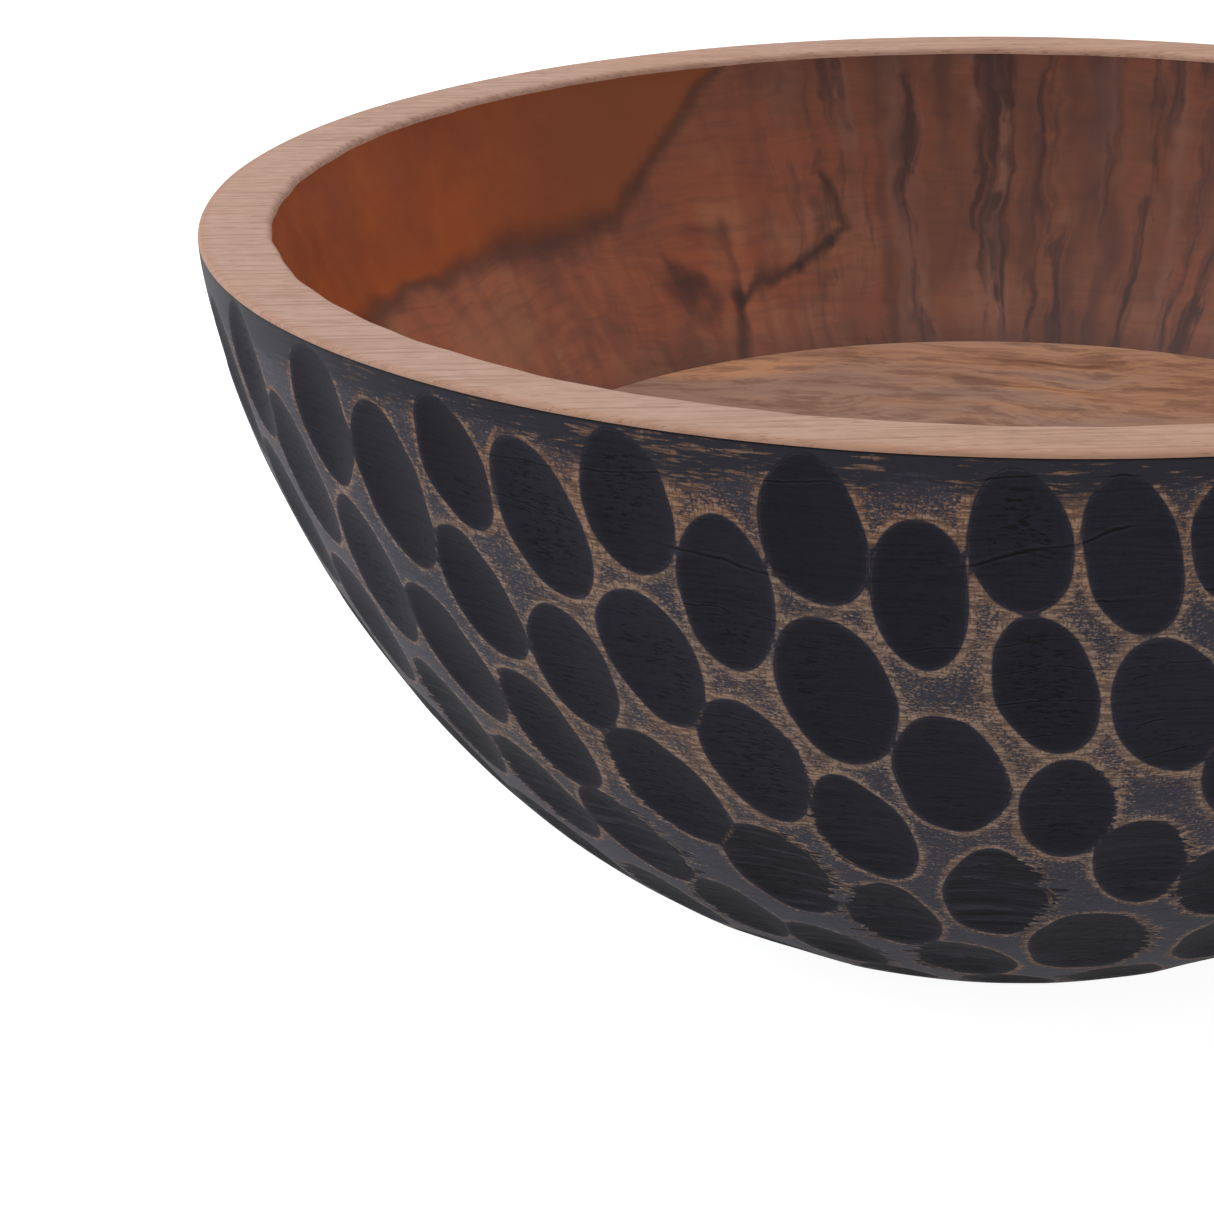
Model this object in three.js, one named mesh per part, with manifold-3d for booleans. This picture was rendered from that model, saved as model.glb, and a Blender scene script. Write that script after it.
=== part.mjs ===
import * as THREE from 'three';
import { mergeVertices } from 'three/addons/utils/BufferGeometryUtils.js';
import Module from 'manifold-3d';

// A wooden bowl turned from two thick discs glued face to face.
// The lower disc is the solid base: its top is the flat inside floor, its underside the foot.
// The upper disc is hollowed right through and makes the wall and the rim.
// The outside is covered with shallow oval gouge scoops that run on across the glue line.
// Millimetres, +Z up, origin at the centre of the flat foot, front of the bowl towards -Y.

// Overall sizes.
const RIM_RADIUS = 150;
const HEIGHT = 130;
const RIM_WIDTH = 13.6;
const FLOOR_RADIUS = 102;
const FLOOR_LEVEL = 72;
const FOOT_RADIUS = 63.5;

// Outside curve: how far it leaves the rim and the foot before it bends away.
const RIM_DROP = 28.3;
const RIM_LEAN = 0.7;
const FOOT_RUN = 59.3;
const FOOT_RISE = 28.9;

// Inside curve of the wall, and the worn corners of the rim.
const WALL_BULGE_RADIUS = 126;
const WALL_BULGE_LEVEL = 98;
const RIM_OUTER_ROUND = 0.8;
const RIM_INNER_ROUND = 1.4;

// Thickness of the glue line between the two discs.
const GLUE_GAP = 0.3;

// Gouge scoops, row by row from the rim down. The depth is how far the middle of the row lies
// below the rim along the outside. The start is the direction of its first scoop, in degrees
// to the right of the front. Half width and half height are those of a middling scoop.
const SCOOP_ROWS = [
  { depth: 14, count: 30, start: 0.4, halfWidth: 8.0, halfHeight: 12.5 },
  { depth: 25.5, count: 30, start: -4.6, halfWidth: 8.3, halfHeight: 14.6 },
  { depth: 42, count: 29, start: 2.6, halfWidth: 8.6, halfHeight: 14.8 },
  { depth: 58, count: 28, start: -3.0, halfWidth: 8.8, halfHeight: 14.8 },
  { depth: 76, count: 26, start: -8.4, halfWidth: 9.0, halfHeight: 15.0 },
  { depth: 94, count: 24, start: 0.7, halfWidth: 9.3, halfHeight: 15.0 },
  { depth: 112, count: 22, start: -8.3, halfWidth: 9.6, halfHeight: 14.8 },
  { depth: 130, count: 20, start: 0.0, halfWidth: 9.8, halfHeight: 14.0 },
  { depth: 148, count: 17, start: 8.0, halfWidth: 9.8, halfHeight: 11.0 },
];

// How much one scoop differs from the next, as a hand leaves them.
const SCOOP_SEED = 144;
const SHIFT_ALONG = 3.5;
const SHIFT_DOWN = 4.5;
const WIDTH_SPREAD = 0.16;
const HEIGHT_SPREAD = 0.12;

// How the scoops settle side by side, and the plain bands left at the rim and the foot.
const SETTLE_ROUNDS = 60;
const SETTLE_REACH = 1.16;
const SETTLE_RATE = 0.125;
const RIM_BAND = 1.6;
const FOOT_BAND = 2.5;
const SCOOP_FIT = 0.955;
const SCOOP_LEAST = 0.8;
const SCOOP_MOST = 1.1;

// How far the scoops lean, as a share of their height.
const LEAN = 0.12;
const LEAN_SPREAD = 0.24;

// Section of one scoop: how deep its middle and its hollow lie, and where its wall comes out.
const SCOOP_DEPTH = 1.9;
const HOLLOW_SHARE = 0.55;
const HOLLOW_DEPTH = 1.5;
const MOUTH_SHARE = 1.3;
const MOUTH_LIFT = 0.5;

// Mesh fineness.
const TURNS = 48;
const RING_LEVELS = 4;
const BASE_LEVELS = 7;
const WALL_LEVELS = 6;
const SCOOP_SIDES = 6;
const CURVE_SAMPLES = 2000;

const outside = new THREE.CubicBezierCurve(
  new THREE.Vector2(RIM_RADIUS, HEIGHT),
  new THREE.Vector2(RIM_RADIUS - RIM_LEAN, HEIGHT - RIM_DROP),
  new THREE.Vector2(FOOT_RADIUS + FOOT_RUN, FOOT_RISE),
  new THREE.Vector2(FOOT_RADIUS, 0),
);
const inside = new THREE.QuadraticBezierCurve(
  new THREE.Vector2(FLOOR_RADIUS, FLOOR_LEVEL),
  new THREE.Vector2(WALL_BULGE_RADIUS, WALL_BULGE_LEVEL),
  new THREE.Vector2(RIM_RADIUS - RIM_WIDTH, HEIGHT),
);

// The outside curve measured along its own length, from the rim down.
const curvePoints = outside.getPoints(CURVE_SAMPLES);
const curveDepths = [0];
for (let index = 1; index < curvePoints.length; index += 1) {
  const step = curvePoints[index].distanceTo(curvePoints[index - 1]);
  curveDepths.push(curveDepths[index - 1] + step);
}
const outsideLength = curveDepths[curveDepths.length - 1];

// Point of the outside curve where a measure that grows along it reaches a value.
function findOnCurve(measure, value) {
  let before = 0;
  let after = curvePoints.length - 1;
  while (after - before > 1) {
    const middle = Math.floor((before + after) / 2);
    if (measure(middle) > value) {
      after = middle;
    } else {
      before = middle;
    }
  }
  const share = (value - measure(before)) / (measure(after) - measure(before));
  return curvePoints[before].clone().lerp(curvePoints[after], share);
}

function outsideAtDepth(depth) {
  return findOnCurve((index) => curveDepths[index], depth);
}

function outsideAtLevel(level) {
  return findOnCurve((index) => -curvePoints[index].y, -level);
}

// Points of the outside curve from one level up to another, evenly spread.
function outsideBetween(bottom, top, count) {
  const points = [];
  for (let index = 0; index <= count; index += 1) {
    points.push(outsideAtLevel(bottom + ((top - bottom) * index) / count));
  }
  return points;
}

// A fixed, even scatter of values from 0 to 1.
function scatter(index, salt) {
  const wave = Math.sin(index * 12.9898 + (SCOOP_SEED + salt) * 78.233) * 43758.5453;
  return wave - Math.floor(wave);
}

// First places and sizes of the scoops, row by row.
function markScoops() {
  const scoops = [];
  SCOOP_ROWS.forEach((row) => {
    const radius = outsideAtDepth(row.depth).x;
    for (let place = 0; place < row.count; place += 1) {
      const index = scoops.length + 1;
      const turn = THREE.MathUtils.degToRad(row.start + (360 * place) / row.count);
      scoops.push({
        angle: turn + ((scatter(index, 0) - 0.5) * 2 * SHIFT_ALONG) / radius,
        depth: row.depth + (scatter(index, 0.37) - 0.5) * 2 * SHIFT_DOWN,
        halfWidth: row.halfWidth * (1 + (scatter(index, 0.71) - 0.5) * WIDTH_SPREAD),
        halfHeight: row.halfHeight * (1 + (scatter(index, 0.13) - 0.5) * HEIGHT_SPREAD),
      });
    }
  });
  return scoops;
}

// How far apart two scoops lie, where 1 means that their ovals just touch.
function spacing(one, other) {
  const turn = one.angle - other.angle;
  const shortTurn = turn - 2 * Math.PI * Math.round(turn / (2 * Math.PI));
  const radius = outsideAtDepth((one.depth + other.depth) / 2).x;
  const width = one.halfWidth + other.halfWidth;
  const height = one.halfHeight + other.halfHeight;
  const along = (shortTurn * radius) / width;
  const down = (one.depth - other.depth) / height;
  return { along, down, width, height, distance: Math.hypot(along, down) };
}

// Each scoop pushes its close neighbours away, so that all of them find room.
function settleScoops(scoops) {
  for (let round = 0; round < SETTLE_ROUNDS; round += 1) {
    const moves = scoops.map(() => new THREE.Vector2());
    for (let first = 0; first < scoops.length; first += 1) {
      for (let second = first + 1; second < scoops.length; second += 1) {
        const { along, down, width, height, distance } = spacing(scoops[first], scoops[second]);
        if (distance < SETTLE_REACH) {
          const push = ((SETTLE_REACH - distance) / distance) * SETTLE_RATE;
          const move = new THREE.Vector2(push * along * width, push * down * height);
          moves[first].add(move);
          moves[second].sub(move);
        }
      }
    }
    scoops.forEach((scoop, index) => {
      scoop.angle += moves[index].x / outsideAtDepth(scoop.depth).x;
      const highest = scoop.halfHeight + RIM_BAND;
      const lowest = outsideLength - scoop.halfHeight - FOOT_BAND;
      scoop.depth = Math.min(Math.max(scoop.depth + moves[index].y, highest), lowest);
    });
  }
}

// Each scoop takes the size that its nearest neighbour leaves it.
function fitScoops(scoops) {
  const scales = scoops.map((scoop) => {
    const distances = scoops
      .filter((other) => other !== scoop)
      .map((other) => spacing(scoop, other).distance);
    const room = Math.min(...distances) * SCOOP_FIT;
    return Math.min(Math.max(room, SCOOP_LEAST), SCOOP_MOST);
  });
  scoops.forEach((scoop, index) => {
    scoop.halfWidth *= scales[index];
    scoop.halfHeight *= scales[index];
  });
}

const wasm = await Module();
wasm.setup();

// Closed solid with shared corners, ready for cutting.
function toSolid(source) {
  const plain = source.clone();
  plain.deleteAttribute('normal');
  plain.deleteAttribute('uv');
  const merged = mergeVertices(plain, 1e-4);
  const index = merged.getIndex().array;
  const faces = [];
  for (let at = 0; at < index.length; at += 3) {
    const [a, b, c] = [index[at], index[at + 1], index[at + 2]];
    if (a !== b && b !== c && c !== a) {
      faces.push(a, b, c);
    }
  }
  return new wasm.Manifold(
    new wasm.Mesh({
      numProp: 3,
      vertProperties: Float32Array.from(merged.getAttribute('position').array),
      triVerts: Uint32Array.from(faces),
    }),
  );
}

// Surface of a cut solid.
function toGeometry(solid) {
  const mesh = solid.getMesh();
  const shared = new THREE.BufferGeometry();
  shared.setAttribute('position', new THREE.BufferAttribute(mesh.vertProperties, 3));
  shared.setIndex(new THREE.BufferAttribute(mesh.triVerts, 1));
  const geometry = shared.toNonIndexed();
  geometry.computeVertexNormals();
  return geometry;
}

// Solid of revolution about Z from a profile of radius and level.
function turned(profile) {
  const geometry = new THREE.LatheGeometry(profile, TURNS);
  geometry.rotateX(Math.PI / 2);
  return toSolid(geometry);
}

// Shape that one stroke of the gouge takes out, placed on the outside.
function scoopCutter(scoop, index) {
  const geometry = new THREE.LatheGeometry(
    [
      new THREE.Vector2(0, -SCOOP_DEPTH),
      new THREE.Vector2(HOLLOW_SHARE, -HOLLOW_DEPTH),
      new THREE.Vector2(MOUTH_SHARE, MOUTH_LIFT),
      new THREE.Vector2(0, MOUTH_LIFT),
    ],
    SCOOP_SIDES,
  );
  geometry.rotateX(Math.PI / 2);
  geometry.scale(scoop.halfWidth, scoop.halfHeight, 1);

  const point = outsideAtDepth(scoop.depth);
  const ahead = outsideAtDepth(scoop.depth - 0.5);
  const slope = ahead.sub(point).normalize();
  const direction = scoop.angle - Math.PI / 2;
  const outward = new THREE.Vector3(Math.cos(direction), Math.sin(direction), 0);
  const sideways = new THREE.Vector3(-outward.y, outward.x, 0);
  const upward = outward.clone().multiplyScalar(slope.x).setZ(slope.y);
  const normal = sideways.clone().cross(upward);
  const lean = LEAN + (scatter(index, 0.5) - 0.5) * LEAN_SPREAD;
  const along = upward.clone().addScaledVector(sideways, -lean);
  const place = new THREE.Matrix4().makeBasis(sideways, along, normal);
  place.setPosition(outward.x * point.x, outward.y * point.x, point.y);
  geometry.applyMatrix4(place);
  return toSolid(geometry);
}

// Wall and rim: the upper disc, hollowed right through.
function upperRing() {
  const bottom = FLOOR_LEVEL + GLUE_GAP;
  const rimInner = RIM_RADIUS - RIM_WIDTH;
  const profile = [
    ...outsideBetween(bottom, HEIGHT - RIM_OUTER_ROUND, RING_LEVELS),
    new THREE.Vector2(RIM_RADIUS - RIM_OUTER_ROUND, HEIGHT),
    new THREE.Vector2(rimInner + RIM_INNER_ROUND, HEIGHT),
    ...inside.getPoints(WALL_LEVELS).slice(1, -1).reverse(),
    new THREE.Vector2(FLOOR_RADIUS, bottom),
  ];
  profile.push(profile[0].clone());
  return turned(profile);
}

// Floor and foot: the solid lower disc.
function baseBlock() {
  return turned([
    new THREE.Vector2(0, 0),
    ...outsideBetween(0, FLOOR_LEVEL, BASE_LEVELS),
    new THREE.Vector2(0, FLOOR_LEVEL),
  ]);
}

const scoops = markScoops();
settleScoops(scoops);
fitScoops(scoops);
const cutters = wasm.Manifold.union(scoops.map((scoop, index) => scoopCutter(scoop, index)));

const group = new THREE.Group();

function addPiece(name, solid, color, roughness) {
  const material = new THREE.MeshStandardMaterial({ color, roughness, metalness: 0 });
  const mesh = new THREE.Mesh(toGeometry(solid), material);
  mesh.name = name;
  group.add(mesh);
}

addPiece('upper_ring', upperRing().subtract(cutters), 0x6b4334, 0.5);
addPiece('base_block', baseBlock().subtract(cutters), 0x8a6a55, 0.6);

export default group;
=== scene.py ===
import math

import bpy
import numpy as np
from mathutils import Matrix, Vector


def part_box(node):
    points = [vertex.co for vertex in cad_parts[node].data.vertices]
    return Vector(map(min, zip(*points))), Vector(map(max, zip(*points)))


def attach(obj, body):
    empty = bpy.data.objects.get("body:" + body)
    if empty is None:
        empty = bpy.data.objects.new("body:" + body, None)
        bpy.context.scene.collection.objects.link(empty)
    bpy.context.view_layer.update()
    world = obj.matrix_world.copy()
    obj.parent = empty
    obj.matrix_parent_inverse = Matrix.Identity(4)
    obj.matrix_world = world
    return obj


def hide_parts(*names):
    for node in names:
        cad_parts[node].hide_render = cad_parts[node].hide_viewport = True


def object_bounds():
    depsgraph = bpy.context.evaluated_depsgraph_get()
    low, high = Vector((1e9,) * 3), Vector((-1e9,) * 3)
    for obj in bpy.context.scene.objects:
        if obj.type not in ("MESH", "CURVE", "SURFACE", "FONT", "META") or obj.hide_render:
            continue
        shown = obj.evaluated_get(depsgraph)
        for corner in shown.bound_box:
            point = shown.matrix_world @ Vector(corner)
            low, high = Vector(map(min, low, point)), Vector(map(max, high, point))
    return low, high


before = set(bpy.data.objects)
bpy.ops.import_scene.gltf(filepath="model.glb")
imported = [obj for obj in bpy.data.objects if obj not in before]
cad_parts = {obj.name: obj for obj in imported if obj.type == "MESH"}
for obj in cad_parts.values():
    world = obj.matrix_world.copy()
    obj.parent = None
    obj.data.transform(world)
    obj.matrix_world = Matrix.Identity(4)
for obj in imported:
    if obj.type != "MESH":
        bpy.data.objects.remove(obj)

CAD_LOW, CAD_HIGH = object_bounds()

# A wooden bowl made of two turned discs, painted and scooped outside.
# Lengths below are in millimetres unless a name says otherwise; meshes are built in metres.
MM = 0.001

# Sizes taken from the frame.
RIM_RADIUS = (CAD_HIGH.x - CAD_LOW.x) / 2 / MM
HEIGHT = CAD_HIGH.z / MM
FLOOR_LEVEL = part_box("base_block")[1].z / MM

# The glue line shows as no more than a hair between the two pieces.
GLUE_LINE = 0.02
RING_BOTTOM = FLOOR_LEVEL + GLUE_LINE

# Shape of the turned bowl, as in the CAD model.
RIM_WIDTH = 13.6
FLOOR_RADIUS = 102.0
FOOT_RADIUS = 63.5
RIM_DROP, RIM_LEAN = 28.3, 0.7
FOOT_RUN, FOOT_RISE = 59.3, 28.9
WALL_BULGE = (126.0, 98.0)
RIM_OUTER_ROUND = 0.8
RIM_INNER_ROUND = 1.4

# How far the two edges of the rim wander, and in how many waves round the bowl.
OUTER_WAVER, OUTER_WAVES = 0.15, (3, 7, 16, 29)
INNER_WAVER, INNER_WAVES = 0.75, (3, 7, 13, 22, 35, 58)
# How far the rim's outer edge is sanded in from the turned curve.
OUTER_EDGE_IN = 0.16

# Scoop rows: depth below the rim, count, first direction, half width, half height.
SCOOP_ROWS = (
    (14.0, 30, 0.4, 8.0, 12.5),
    (25.5, 30, -4.6, 8.3, 14.6),
    (42.0, 29, 2.6, 8.6, 14.8),
    (58.0, 28, -3.0, 8.8, 14.8),
    (76.0, 26, -8.4, 9.0, 15.0),
    (94.0, 24, 0.7, 9.3, 15.0),
    (112.0, 22, -8.3, 9.6, 14.8),
    (130.0, 20, 0.0, 9.8, 14.0),
    (148.0, 17, 8.0, 9.8, 11.0),
)
SCOOP_SEED = 144
SHIFT_ALONG, SHIFT_DOWN = 3.5, 4.5
WIDTH_SPREAD, HEIGHT_SPREAD = 0.16, 0.12
SETTLE_ROUNDS, SETTLE_REACH, SETTLE_RATE = 60, 1.16, 0.125
RIM_BAND, FOOT_BAND = 1.6, 2.5
SCOOP_FIT, SCOOP_LEAST, SCOOP_MOST = 0.955, 0.8, 1.1

# Fine shape of one scoop. Egg, wobble and jag are shares of its size.
CUT_DEPTH = 1.2
CUT_DEPTH_SPREAD = 0.3
CREASE_ROUND = 0.12
LEAN, LEAN_SPREAD = 0.12, 0.24
EGG_SPREAD = 0.16
WOBBLE = 0.055
JAG = 0.11

# Torn grain starts this far below the rim, and is full this much further down.
TEAR_START, TEAR_RUN = 60, 40
TEAR_LEAST = 0.35
TEAR_DEPTH = 0.16

# Slow unevenness of the whole outside, and how far it lies under the turned curve.
SKIN_WAVE, SKIN_SUNK = 0.035, 0.05

# Mesh fineness.
RING_TURNS, BASE_TURNS = 960, 860
RING_STEP, BASE_STEP = 0.9, 1.0
OUTER_ROUND_STEPS, INNER_ROUND_STEPS = 3, 4
WALL_STEPS = 16
SHARP_EDGE = math.radians(50)


# ---------------------------------------------------------------- outside curve

def bezier(points, count):
    """Points along a Bezier curve of any degree."""
    t = np.linspace(0, 1, count)[:, None]
    degree = len(points) - 1
    return sum(
        math.comb(degree, k) * (1 - t) ** (degree - k) * t ** k * np.array(point, float)
        for k, point in enumerate(points)
    )


OUTSIDE = bezier(
    [
        (RIM_RADIUS, HEIGHT),
        (RIM_RADIUS - RIM_LEAN, HEIGHT - RIM_DROP),
        (FOOT_RADIUS + FOOT_RUN, FOOT_RISE),
        (FOOT_RADIUS, 0),
    ],
    2001,
)
DEPTHS = np.concatenate([[0], np.cumsum(np.hypot(*np.diff(OUTSIDE, axis=0).T))])
OUTSIDE_LENGTH = DEPTHS[-1]


def outside_radius(depth):
    return np.interp(depth, DEPTHS, OUTSIDE[:, 0])


def outside_level(depth):
    return np.interp(depth, DEPTHS, OUTSIDE[:, 1])


def depth_of_level(level):
    return float(np.interp(-level, -OUTSIDE[:, 1], DEPTHS))


def shortest_turn(angle):
    """The same turn, brought to within half a turn either way."""
    return angle - 2 * math.pi * np.round(angle / (2 * math.pi))


# ---------------------------------------------------------------- scoop layout

def scatter(index, salt):
    """A fixed, even scatter of values from 0 to 1."""
    wave = math.sin(index * 12.9898 + (SCOOP_SEED + salt) * 78.233) * 43758.5453
    return wave - math.floor(wave)


def mark_scoops():
    """First places and sizes: one line per scoop of angle, depth, half width, half height."""
    scoops = []
    for depth, count, start, half_width, half_height in SCOOP_ROWS:
        radius = float(outside_radius(depth))
        for place in range(count):
            index = len(scoops) + 1
            turn = math.radians(start + 360 * place / count)
            scoops.append((
                turn + (scatter(index, 0) - 0.5) * 2 * SHIFT_ALONG / radius,
                depth + (scatter(index, 0.37) - 0.5) * 2 * SHIFT_DOWN,
                half_width * (1 + (scatter(index, 0.71) - 0.5) * WIDTH_SPREAD),
                half_height * (1 + (scatter(index, 0.13) - 0.5) * HEIGHT_SPREAD),
            ))
    return np.array(scoops)


def spacing(scoops):
    """How far apart every two scoops lie, where 1 means that their ovals touch."""
    angle, depth, half_width, half_height = scoops.T
    turn = shortest_turn(angle[:, None] - angle)
    width = half_width[:, None] + half_width
    height = half_height[:, None] + half_height
    along = turn * outside_radius((depth[:, None] + depth) / 2) / width
    down = (depth[:, None] - depth) / height
    distance = np.hypot(along, down)
    np.fill_diagonal(distance, np.inf)
    return along, down, width, height, distance


def settle_scoops(scoops):
    """Each scoop pushes its close neighbours away, so that all of them find room."""
    for _ in range(SETTLE_ROUNDS):
        along, down, width, height, distance = spacing(scoops)
        push = np.clip(SETTLE_REACH - distance, 0, None) / distance * SETTLE_RATE
        scoops[:, 0] += (push * along * width).sum(1) / outside_radius(scoops[:, 1])
        scoops[:, 1] += (push * down * height).sum(1)
        highest = scoops[:, 3] + RIM_BAND
        lowest = OUTSIDE_LENGTH - scoops[:, 3] - FOOT_BAND
        scoops[:, 1] = np.clip(scoops[:, 1], highest, lowest)
    room = spacing(scoops)[4].min(1) * SCOOP_FIT
    scoops[:, 2:] *= np.clip(room, SCOOP_LEAST, SCOOP_MOST)[:, None]
    return scoops


SCOOPS = settle_scoops(mark_scoops())


# ---------------------------------------------------------------- hand-cut surface

def ripple(along, down, cell_along, cell_down, seed):
    """Smooth random values from -1 to 1 on cells of a given size, closed round the bowl."""
    random = np.random.RandomState(seed)
    around = 2 * math.pi * RIM_RADIUS
    columns = max(4, int(around / cell_along))
    rows = int(OUTSIDE_LENGTH / cell_down) + 3
    values = random.uniform(-1, 1, (rows, columns))
    x = (along / (2 * math.pi) % 1) * columns
    y = down / cell_down + 0.5
    left, top = np.floor(x).astype(int), np.clip(np.floor(y).astype(int), 0, rows - 2)
    fx, fy = x - left, np.clip(y - top, 0, 1)
    fx, fy = fx * fx * (3 - 2 * fx), fy * fy * (3 - 2 * fy)
    left %= columns
    right = (left + 1) % columns
    upper = values[top, left] * (1 - fx) + values[top, right] * fx
    lower = values[top + 1, left] * (1 - fx) + values[top + 1, right] * fx
    return upper * (1 - fy) + lower * fy


def smooth_most(one, other, width):
    """The larger of two values, with the corner between them rounded."""
    return 0.5 * (one + other + np.sqrt((one - other) ** 2 + width ** 2))


def cut_scoop(index, angles, depths, wobble, jagged):
    """One scoop on its part of the grid: how deep it cuts, how steeply, and how torn it is."""
    angle, depth, half_width, half_height = SCOOPS[index]
    near = np.nonzero(np.abs(depths - depth) < half_height * 1.5)[0]
    if len(near) == 0:
        return None
    radius = outside_radius(depths[near])
    turn = shortest_turn(angles - angle)
    columns = np.nonzero(np.abs(turn) < half_width * 1.6 / radius.min())[0]
    part = np.ix_(near, columns)

    below = (depths[near] - depth)[:, None]
    lean = LEAN + (scatter(index, 0.5) - 0.5) * LEAN_SPREAD
    across = turn[columns] * radius[:, None] - lean * below
    v = below / half_height
    u = across / half_width * (1 + (scatter(index, 0.9) - 0.5) * EGG_SPREAD * v)

    torn = np.clip((depth - TEAR_START) / TEAR_RUN, 0, 1)
    torn *= TEAR_LEAST + (1 - TEAR_LEAST) * scatter(index, 0.21)
    torn_side = 1 if scatter(index, 0.33) > 0.45 else -1
    rho = np.hypot(u, v) + 1e-6
    ragged = torn * np.clip(torn_side * u / rho * 1.6 - 0.4, 0, 1) * np.clip(rho * 2 - 1, 0, 1)
    rho = rho + WOBBLE * wobble[part] + JAG * ragged * jagged[part]
    most = CUT_DEPTH * (1 + (scatter(index, 0.61) - 0.5) * CUT_DEPTH_SPREAD)
    cut = most * (1 - rho ** 2)
    slope = 2 * most * np.hypot(u / half_width, v / half_height) + 0.02
    return part, cut, slope, torn, ragged


def carve(angles, depths):
    """Cut depth of the outside and what the paint needs to know, on a grid of places."""
    along, down = np.meshgrid(angles, depths)
    # The deepest and second deepest cut at each place, and how steep each is there.
    first, second = np.full(down.shape, -4.0), np.full(down.shape, -4.0)
    first_slope, second_slope = np.full(down.shape, 0.3), np.full(down.shape, 0.3)
    stroke, torn, ragged = np.zeros(down.shape), np.zeros(down.shape), np.zeros(down.shape)
    jagged = ripple(along, down, 5.0, 1.5, 5) * 0.7 + ripple(along, down, 2.5, 1.0, 6) * 0.5
    wobble = ripple(along, down, 7.0, 7.0, 7)
    for index in range(len(SCOOPS)):
        scoop = cut_scoop(index, angles, depths, wobble, jagged)
        if scoop is None:
            continue
        part, cut, slope, scoop_torn, scoop_ragged = scoop
        old_first, old_slope = first[part], first_slope[part]
        wins = cut > old_first
        beaten = np.where(wins, old_first, cut)
        beaten_slope = np.where(wins, old_slope, slope)
        is_second = beaten > second[part]
        second[part] = np.where(is_second, beaten, second[part])
        second_slope[part] = np.where(is_second, beaten_slope, second_slope[part])
        first[part] = np.where(wins, cut, old_first)
        first_slope[part] = np.where(wins, slope, old_slope)
        stroke[part] = np.where(wins, scatter(index, 0.77), stroke[part])
        torn[part] = np.where(wins, scoop_torn, torn[part])
        ragged[part] = np.where(wins, scoop_ragged, ragged[part])
    outline = first / first_slope
    ridge = np.where(second > 0, (first - second) / (first_slope + second_slope), np.abs(outline))
    torn *= np.clip(outline / 1.5, 0, 1)
    tears = ripple(along, down, 9.0, 1.6, 8) * ripple(along, down, 5.0, 4.0, 9)
    cut = smooth_most(smooth_most(first, second, CREASE_ROUND), 0, CREASE_ROUND)
    cut += torn * TEAR_DEPTH * tears
    cut += SKIN_WAVE * ripple(along, down, 12, 9, 10) + SKIN_SUNK
    return {
        "cut": cut,
        "outline": outline,
        "crease": np.minimum(np.abs(outline), ridge),
        "stroke": stroke,
        "torn": torn,
        "ragged": ragged,
        "below_rim": down,
    }


# ---------------------------------------------------------------- meshes

def outside_rows(first_depth, last_depth, step, angles):
    """Scooped outside between two depths: rows of (radius, level), and the paint's values."""
    count = int(round((last_depth - first_depth) / step)) + 1
    depths = np.linspace(first_depth, last_depth, count)
    values = carve(angles, depths)
    cut = values.pop("cut")
    slope_r = outside_radius(depths + 0.2) - outside_radius(depths - 0.2)
    slope_z = outside_level(depths + 0.2) - outside_level(depths - 0.2)
    length = np.hypot(slope_r, slope_z)
    radius = outside_radius(depths)[:, None] + cut * (slope_z / length)[:, None]
    level = outside_level(depths)[:, None] - cut * (slope_r / length)[:, None]
    return list(zip(radius, np.maximum(level, 0))), values


def level_row(radius, level, angles):
    """A row at one level; its radius may change round the bowl."""
    return radius + 0 * angles, level + 0 * angles


def write_mesh(name, corners, loops, starts, materials):
    """A mesh from its corners, the corner numbers of its faces and their materials."""
    mesh = bpy.data.meshes.new(name)
    mesh.vertices.add(len(corners))
    mesh.vertices.foreach_set("co", corners.ravel())
    mesh.loops.add(len(loops))
    mesh.loops.foreach_set("vertex_index", loops)
    mesh.polygons.add(len(starts))
    mesh.polygons.foreach_set("loop_start", starts)
    mesh.polygons.foreach_set("material_index", materials.astype(np.int32))
    mesh.update(calc_edges=True)
    mesh.validate()
    return mesh


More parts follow.
